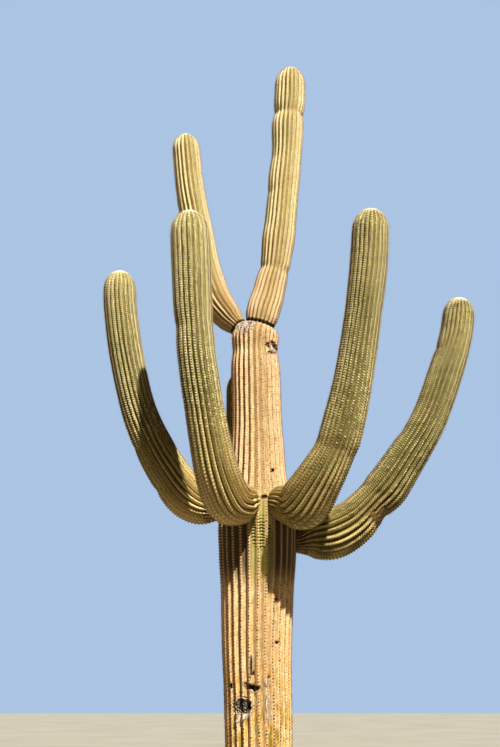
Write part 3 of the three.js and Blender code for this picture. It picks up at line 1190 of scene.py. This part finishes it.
@functools.cache
def skin_material(kind):
    """Waxy skin, flecked; on the trunk with amber, moss and painted shade between the arms, on a
    limb browned, with painted light on an arm's bends and painted shade on the greener limbs; with
    a near black painted shadow between the limbs' pads, painted shade in folds, cork, scars and
    young wool where the skin's own numbers say so.
    """
    nodes = Nodes(f"{kind}_skin")
    grain = nodes.noise(42.0, 6.0)
    base, striae = flecked(nodes, ribbed(nodes, kind), kind)
    base = weathered_and_shaded(nodes, base) if kind == "trunk" else aged_with_painted_light_and_shade(nodes, base, kind)
    base, fold = folded(nodes, beaded(nodes, base, kind))
    base, coarse, cracks = scarred(nodes, corked(nodes, base, grain), grain)
    base = nodes.mix(nodes.number("youth"), base, colours().wool)
    rough = nodes.level(nodes.noise(20.0, 3.0), 0.3, 0.7, 0.55, 0.78)
    bumps = (
        (nodes.noise(260.0, 3.0), 0.0006),
        (nodes.noise(70.0, 4.0, (1, 1, 0.4)), 0.0014),
        (nodes.times(grain, nodes.number("cork")), 0.006),
        (nodes.times(coarse, nodes.number("wound")), 0.007),
        (nodes.times(cracks, nodes.number("wound")), -0.006),
        (striae, -0.0012),
        (fold, 0.0022),
    )
    return nodes.finish(base, rough, bumps)


@functools.cache
def wound_material():
    """Skin at the rim, cork brown and then near black painted shade further in, with grey torn wood,
    and callus on swellings.
    """
    tones = colours()
    nodes = Nodes("wound")
    grain = nodes.noise(85.0, 6.0, (1, 1, 0.35))
    rim = shade(tones.trunk_crest, 0.7)
    # Painted shade: darker the deeper into the wound.
    sunk = ((0.0, rim), (0.20, shade(tones.cork, 0.5)), (0.50, tones.hollow))
    wood = nodes.ramp(grain, ((0.42, shade(tones.hollow, 2.0)), (0.55, tones.torn_wood)))
    share = nodes.times(nodes.spread("deep", 0.05, 0.30, 0.0, 0.75), nodes.number("woody"))
    base = nodes.mix(share, nodes.ramp(nodes.number("deep"), sunk), wood)
    healed = nodes.ramp(grain, shades(tones.callus, (0.38, 0.35), (0.52, 0.8), (0.66, 1.1)))
    base = nodes.mix(nodes.number("callus"), base, healed)
    rough = nodes.level(grain, 0.3, 0.7, 0.72, 0.92)
    return nodes.finish(base, rough, ((grain, 0.006), (nodes.noise(260.0, 3.0), 0.001)))


@functools.cache
def growth_material(name, low, high, roughness, drift):
    """Felt, spine or wool: two tones, and a noise that drifts from one to the other."""
    nodes = Nodes(name)
    base = nodes.ramp(nodes.noise(drift, 2.0), ((0.38, low), (0.62, high)))
    rough = nodes.level(nodes.noise(9.0, 2.0), 0.3, 0.7, roughness - 0.06, roughness + 0.06)
    return nodes.finish(base, rough, ())


def growths(finish, *names):
    """The materials of felts or of spines, one for each tone."""
    return [growth_material(name, *GROWTHS[name], *finish) for name in names]


def wound_arrays(name, wound):
    """A wound as rings from its rim to its middle, laid on the trunk's skin and sunk into it.

    At the distance d from the middle it lies below the skin by the depth times a smooth step
    of (1 - d) / 0.2, and its lip stands out of it by a bell curve about d = 1.03. Beyond the lip
    the rim dips under the skin. Two ripples make the wood and the lip uneven, and torn fibres
    stand up in it by a sine wave across their run.
    """
    middle_x, middle_z, half_width, half_height, depth, lip, tilt, bend = wound
    seed = seed_of(name)
    distance = np.linspace(WOUND_RIM, 0.02, WOUND_RINGS)[:, None]
    turn = np.linspace(0, 2 * math.pi, WOUND_SPOKES, endpoint=False)[None, :]
    woody = FIBRES.get(name, 0)
    torn = 1 + (0.16 + 0.40 * woody) * ripple(0 * distance, turn, seed, 1.0)
    torn = torn + 0.09 * ripple(0 * distance, 3 * turn, seed + 5, 1.0)
    s = distance * torn * np.cos(turn)
    x = middle_x + half_width * s
    z = middle_z + half_width * (tilt * s + bend * (s * s - 0.5))
    z = z + half_height * distance * torn * np.sin(turn)
    heights, radii, leans, _ = trunk_line()
    radius = np.interp(z, heights, radii)
    lean = np.interp(z, heights, leans)
    angle = -np.arccos(np.clip((x - lean) / radius, -1, 1)) % (2 * math.pi)
    reach, _ = trunk_reach(z, angle, radius)
    bowl = smooth((1 - distance) / 0.2)
    edge = np.exp(-(((distance - WOUND_LIP) / 0.09) ** 2))
    size = min(half_width, half_height)
    grain = ripple(distance, turn, seed + 1, 0.35) + 0.7 * ripple(distance, 3 * turn, seed + 2, 0.2)
    out = 0.0015 - depth * bowl + lip * edge * np.clip(0.7 + 1.2 * grain, 0, 2)
    out = out + 0.10 * size * grain * smooth((1.1 - distance) / 0.3)
    out = out - 0.006 * smooth((distance - 1.07) / (WOUND_RIM - 1.07))
    fibre = 0.5 + 0.5 * np.sin(2 * math.pi * (x + 1.1 * z) / FIBRE_PITCH + 2.5 * grain)
    out = out + depth * bowl * woody * fibre
    # Painted shade: darker the deeper the wood lies, lighter on the tops of the fibres.
    deep = np.clip(depth / 0.026, 0, 1) * bowl * (1 - woody * fibre)
    reach = reach + out
    grid = np.stack([lean + reach * np.cos(angle), reach * np.sin(angle), z], axis=-1)
    inward = np.array([0.0, max(depth, 0) + 0.02, 0.0])
    floats = {
        "deep": deep,
        "woody": np.full(deep.shape, 0.10 + woody),
        "callus": np.full(deep.shape, float(depth < 0)),
    }
    return grid, grid[0].mean(axis=0) + inward, grid[-1].mean(axis=0), floats


def pad_places(form):
    """Where the spine pads sit: on the crests, on every second row, turn about by rib.

    Gives place, outward direction, direction up the rib, youth and age for each pad. Outward is
    square to the rib's run and to the line from the flank before to the flank after.
    """
    rows, columns, _ = form.points.shape
    rib = np.arange(form.ribs)[None, :]
    row = np.arange(1, rows - 1)[:, None]
    column = rib * len(RIB_COLUMNS)
    wanted = ((row + rib) % 2 == 0) | (form.youth[row, column] > 0.15)
    wanted = wanted & ~form.bare[row, column]
    row, column = (np.broadcast_to(a, wanted.shape)[wanted] for a in (row, column))
    place = form.points[row, column]
    upward = unit(form.points[row + 1, column] - form.points[row - 1, column])
    around = form.points[row, (column + 2) % columns] - form.points[row, column - 2]
    outward = unit(np.cross(around, upward))
    return place, outward, upward, form.youth[row, column], form.age[row, column]


def fan_faces(count, sides):
    """Faces of many cones, each with its rim points first and then its top."""
    first = np.arange(count)[:, None] * (sides + 1)
    corner = np.arange(sides)[None, :]
    top = np.broadcast_to(first + sides, (count, sides))
    return np.stack([first + corner, first + (corner + 1) % sides, top], axis=-1).reshape(-1, 3)


def pad_arrays(form, seed, size, least):
    """Felted pads: each a low, uneven, eight-sided dome, wider than it is long.

    Gives points, faces and the tone of each face: 1, for darker, where a random share falls
    below the least share plus a smooth step of the pad's age.
    """
    place, outward, upward, youth, age = pad_places(form)
    rng = np.random.default_rng(seed)
    side = np.cross(upward, outward)
    half = size * rng.uniform(0.85, 1.2, len(place)) * (1 - 0.3 * youth)
    turn = np.arange(PAD_SIDES) * 2 * math.pi / PAD_SIDES
    reach = half[:, None] * rng.uniform(0.8, 1.2, (len(place), PAD_SIDES))
    spoke = swing(turn, side[:, None, :], PAD_LENGTH * upward[:, None, :])
    rim = place[:, None, :] + reach[:, :, None] * spoke - PAD_SINK * outward[:, None, :]
    top = place + (0.6 * half)[:, None] * outward
    points = np.concatenate([rim, top[:, None, :]], axis=1)
    # On the trunk the pads also turn dark where the arms' shade is painted.
    dark = rng.random(len(place)) < least + smooth((age - 0.45) / 0.25)
    faces = fan_faces(len(place), PAD_SIDES)
    return points.reshape(-1, 3), faces, np.repeat(dark, PAD_SIDES)


def spine_cones(foot, direction, length, thickness):
    """Spines as three-sided cones: three points round the foot and one at the tip."""
    helper = np.where(np.abs(direction[:, 2:]) < 0.9, [[0.0, 0.0, 1.0]], [[1.0, 0.0, 0.0]])
    first = unit(np.cross(direction, helper))
    second = np.cross(direction, first)
    turn = np.arange(3) * 2 * math.pi / 3
    spoke = swing(turn, first[:, None, :], second[:, None, :])
    rim = foot[:, None, :] + thickness[:, None, None] * spoke
    tip = foot + length[:, None] * direction
    points = np.concatenate([rim, tip[:, None, :]], axis=1)
    return points.reshape(-1, 3), fan_faces(len(foot), 3)


def spine_arrays(form, seed, rays, middles, scale):
    """The spines of every pad: rays spread evenly round it and lie low, and middles stand out.

    A spine's direction is the sine of its lift times outward, plus the cosine times a
    direction round the pad. Gives points, faces and the tone of each face: 0 worn, 1 dark,
    2 young.
    """
    place, outward, upward, youth, age = pad_places(form)
    rng = np.random.default_rng(seed)
    side = np.cross(upward, outward)
    shape = (len(place), rays + middles)
    is_middle = np.arange(rays + middles) >= rays
    even = np.arange(rays + middles) * 2 * math.pi / np.where(is_middle, middles, rays)
    turn = even + rng.uniform(-0.35, 0.35, shape) + rng.uniform(0, 6, (len(place), 1))
    lift = np.where(is_middle, rng.uniform(*MIDDLE_LIFT, shape), rng.uniform(*RAY_LIFT, shape))
    full = np.where(is_middle, sizes().middle_spine, sizes().ray_spine)
    length = scale * full * rng.uniform(0.65, 1.3, shape) * (1 - 0.25 * youth[:, None])
    length = length * (0.85 - 0.6 * age[:, None])
    side, outward, upward = (vectors[:, None, :] for vectors in (side, outward, upward))
    direction = swing(lift, swing(turn, side, upward), outward)
    direction = unit(direction + 0.25 * youth[:, None, None] * upward)
    foot = np.broadcast_to(place[:, None, :] + 0.0005 * outward, direction.shape).reshape(-1, 3)
    thick = np.broadcast_to(np.where(is_middle, 1.2, 1.0) * sizes().spine_thickness, shape)
    cones = spine_cones(foot, direction.reshape(-1, 3), length.ravel(), thick.ravel())
    # On the trunk more spines are also dark where the arms' shade is painted; on a limb, towards its
    # root.
    dark = rng.random(shape) < np.where(is_middle, 0.40, 0.20) + 0.35 * age[:, None]
    young = np.broadcast_to(youth[:, None] > 0.25, shape)
    tone = np.where(young, 2, np.where(dark, 1, 0))
    return *cones, np.repeat(tone.ravel(), 3)


def wool_arrays(name, seed):
    """Upright bristles on a growing tip: spread over the top of the dome by the golden angle,
    at a distance from the middle that grows with the square root of their number.
    """
    stations = np.asarray([row[:4] for row in LIMBS[name]["stations"]])
    tip = stations[-1, :3]
    radius = stations[-1, 3]
    heading = unit(tip - stations[-2, :3])
    first = unit(np.cross(heading, [0.0, 1.0, 0.0]))
    second = np.cross(heading, first)
    rng = np.random.default_rng(seed)
    number = np.arange(WOOL_COUNT)
    turn = number * math.pi * (3 - math.sqrt(5))
    share = WOOL_REACH * np.sqrt((number + 0.5) / WOOL_COUNT)
    level = swing(turn, first, second)
    drop = DOME_LENGTH * radius * (1 - (1 - share**DOME_CLOSING) ** (1 / DOME_BLUNTNESS))
    foot = tip + (radius * share)[:, None] * level - (drop + 0.006)[:, None] * heading
    bent = rng.normal(0, 0.25, (WOOL_COUNT, 3))
    direction = unit(heading + 1.1 * share[:, None] * level + bent)
    length = rng.uniform(0.010, 0.019, WOOL_COUNT)
    return spine_cones(foot, direction, length, np.full(WOOL_COUNT, WOOL_THICKNESS))


class SAGUARO_OT_trunk(bpy.types.Operator):
    """Grow the trunk's ribbed skin"""

    bl_idname = "saguaro.trunk"
    bl_label = "Trunk skin"

    def execute(self, context):
        skin_piece("trunk_skin", trunk_form(), skin_material("trunk"), ("trunk",))
        return {"FINISHED"}


class SAGUARO_OT_wounds(bpy.types.Operator):
    """Line the trunk's hollows, slits and scars with callus and torn wood"""

    bl_idname = "saguaro.wounds"
    bl_label = "Wounds"

    def execute(self, context):
        for name, wound in WOUNDS.items():
            grid, foot, tip, floats = wound_arrays(name, wound)
            piece = closed_skin(f"wound_{name}", grid, foot, tip, floats)
            settle(piece, [wound_material()])
        return {"FINISHED"}


class SAGUARO_OT_limbs(bpy.types.Operator):
    """Grow the ribbed skin of the arms and the leader"""

    bl_idname = "saguaro.limbs"
    bl_label = "Limb skins"

    def execute(self, context):
        for name, limb in LIMBS.items():
            material = skin_material(limb["slot"].split("_")[0])
            skin_piece(f"{name}_skin", limb_form(name), material, limb["nodes"])
        return {"FINISHED"}


class SAGUARO_OT_pads(bpy.types.Operator):
    """Set a felted pad at every place where spines grow"""

    bl_idname = "saguaro.pads"
    bl_label = "Spine pads"

    def execute(self, context):
        size = sizes().pad_radius
        for name, limb in LIMBS.items():
            felt = "dull_felt" if name in GREENNESS else limb["slot"].replace("skin", "felt")
            felts = growths(FELT_FINISH, felt, "old_felt")
            arrays = pad_arrays(limb_form(name), seed_of(name) + 3, size, LIMB_DARK_PADS)
            toned_piece(f"{name}_pads", arrays, felts).data.shade_smooth()
        felts = growths(FELT_FINISH, "trunk_felt", "trunk_dark")
        arrays = pad_arrays(trunk_form(), TRUNK_SEED + 5, TRUNK_PAD * size, TRUNK_DARK_PADS)
        toned_piece("trunk_pads", arrays, felts).data.shade_smooth()
        return {"FINISHED"}


class SAGUARO_OT_spines(bpy.types.Operator):
    """Grow the spines out of the pads"""

    bl_idname = "saguaro.spines"
    bl_label = "Spines"

    def execute(self, context):
        tones = growths(SPINE_FINISH, "spine_worn", "spine_dark", "spine_young")
        for name, limb in LIMBS.items():
            arrays = spine_arrays(limb_form(name), seed_of(name) + 4, *LIMB_SPINES)
            toned_piece(f"{name}_spines", arrays, tones)
        tones = growths(SPINE_FINISH, "trunk_spine_worn", "spine_dark", "spine_young")
        arrays = spine_arrays(trunk_form(), TRUNK_SEED + 6, *TRUNK_SPINES)
        toned_piece("trunk_spines", arrays, tones)
        return {"FINISHED"}


class SAGUARO_OT_wool(bpy.types.Operator):
    """Grow the cream wool on the tips"""

    bl_idname = "saguaro.wool"
    bl_label = "Woolly tips"

    def execute(self, context):
        tone = tuple(colours().wool)
        wool = growth_material("tip_wool", shade(tone, 0.92), tone, *WOOL_FINISH)
        for name, limb in LIMBS.items():
            points, faces = wool_arrays(name, seed_of(name) + 5)
            settle(new_mesh(f"{name}_wool", points, [faces]), [wool])
        return {"FINISHED"}


class SAGUARO_OT_stage(bpy.types.Operator):
    """Set the pale floor, the soft light and the camera at the photograph's angle"""

    bl_idname = "saguaro.stage"
    bl_label = "Stage"

    def execute(self, context):
        self.floor()
        self.surround(context.scene)
        self.lamp(context.scene)
        self.camera(context.scene)
        return {"FINISHED"}

    @staticmethod
    def floor():
        """A level sheet of pale ground."""
        corners = FLOOR_REACH * np.array([(-1, -1, 0), (1, -1, 0), (1, 1, 0), (-1, 1, 0)])
        floor = new_mesh("floor", corners, [np.array([[0, 1, 2, 3]])])
        nodes = Nodes("pale_floor")
        pale = ((0.3, (0.34, 0.315, 0.265)), (0.7, (0.38, 0.355, 0.305)))
        rough = nodes.level(nodes.noise(2.0, 2.0), 0.3, 0.7, 0.85, 0.95)
        base = nodes.ramp(nodes.noise(0.4, 3.0), pale)
        floor.data.materials.append(nodes.finish(base, rough, ()))

    @staticmethod
    def surround(scene):
        """A dim surround that pales to blue behind the plant."""
        world = bpy.data.worlds.new("studio")
        world.use_nodes = True
        tree = world.node_tree
        direction = tree.nodes.new("ShaderNodeTexCoord")
        parts = tree.nodes.new("ShaderNodeSeparateXYZ")
        tones = tree.nodes.new("ShaderNodeValToRGB")
        dim, pale = tones.color_ramp.elements
        dim.position, dim.color = 0.42, (0.112, 0.096, 0.066, 1)
        pale.position, pale.color = 0.70, (0.34, 0.43, 0.56, 1)
        tree.links.new(direction.outputs["Generated"], parts.inputs["Vector"])
        tree.links.new(parts.outputs["Y"], tones.inputs["Fac"])
        tree.links.new(tones.outputs["Color"], tree.nodes["Background"].inputs["Color"])
        scene.world = world

    @staticmethod
    def lamp(scene):
        """One warm lamp, high on the right."""
        lamp = bpy.data.lights.new("key", "SUN")
        lamp.energy = LAMP_STRENGTH
        lamp.color = (1.0, 0.975, 0.895)
        lamp.angle = LAMP_ANGLE
        holder = bpy.data.objects.new("key", lamp)
        holder.rotation_euler = (LAMP_TILT, 0, LAMP_TURN)
        scene.collection.objects.link(holder)

    @staticmethod
    def camera(scene):
        """A camera at the photograph's place and angle."""
        camera = bpy.data.cameras.new("camera")
        camera.sensor_fit = "AUTO"
        camera.sensor_width = SENSOR
        camera.lens = LENS
        holder = bpy.data.objects.new("camera", camera)
        holder.location = EYE
        holder.rotation_euler = (math.pi / 2 + TILT_UP, 0, 0)
        scene.collection.objects.link(holder)
        scene.camera = holder
        scene.view_settings.view_transform = "Standard"
        scene.view_settings.look = "High Contrast"


class SAGUARO_PT_panel(bpy.types.Panel):
    """Sizes, colours and pieces of the saguaro"""

    bl_label = "Saguaro"
    bl_idname = "SAGUARO_PT_panel"
    bl_space_type = "VIEW_3D"
    bl_region_type = "UI"
    bl_category = "Saguaro"

    def draw(self, context):
        layout = self.layout
        for group in (context.scene.saguaro_sizes, context.scene.saguaro_colours):
            box = layout.box()
            for key in group.__annotations__:
                box.prop(group, key)
        for operator in PIECES:
            layout.operator(operator.bl_idname)


PIECES = (
    SAGUARO_OT_trunk,
    SAGUARO_OT_wounds,
    SAGUARO_OT_limbs,
    SAGUARO_OT_pads,
    SAGUARO_OT_spines,
    SAGUARO_OT_wool,
    SAGUARO_OT_stage,
)
CLASSES = (SaguaroSizes, SaguaroColours, *PIECES, SAGUARO_PT_panel)


def register():
    """Registers the classes and hangs the two groups of values on the scene."""
    for cls in CLASSES:
        bpy.utils.register_class(cls)
    bpy.types.Scene.saguaro_sizes = bpy.props.PointerProperty(type=SaguaroSizes)
    bpy.types.Scene.saguaro_colours = bpy.props.PointerProperty(type=SaguaroColours)


def unregister():
    """Takes away what register added."""
    del bpy.types.Scene.saguaro_colours
    del bpy.types.Scene.saguaro_sizes
    for cls in reversed(CLASSES):
        bpy.utils.unregister_class(cls)


def main():
    """Grows every piece in order."""
    register()
    for operator in PIECES:
        group, name = operator.bl_idname.split(".")
        getattr(getattr(bpy.ops, group), name)()


if __name__ == "__main__":
    main()
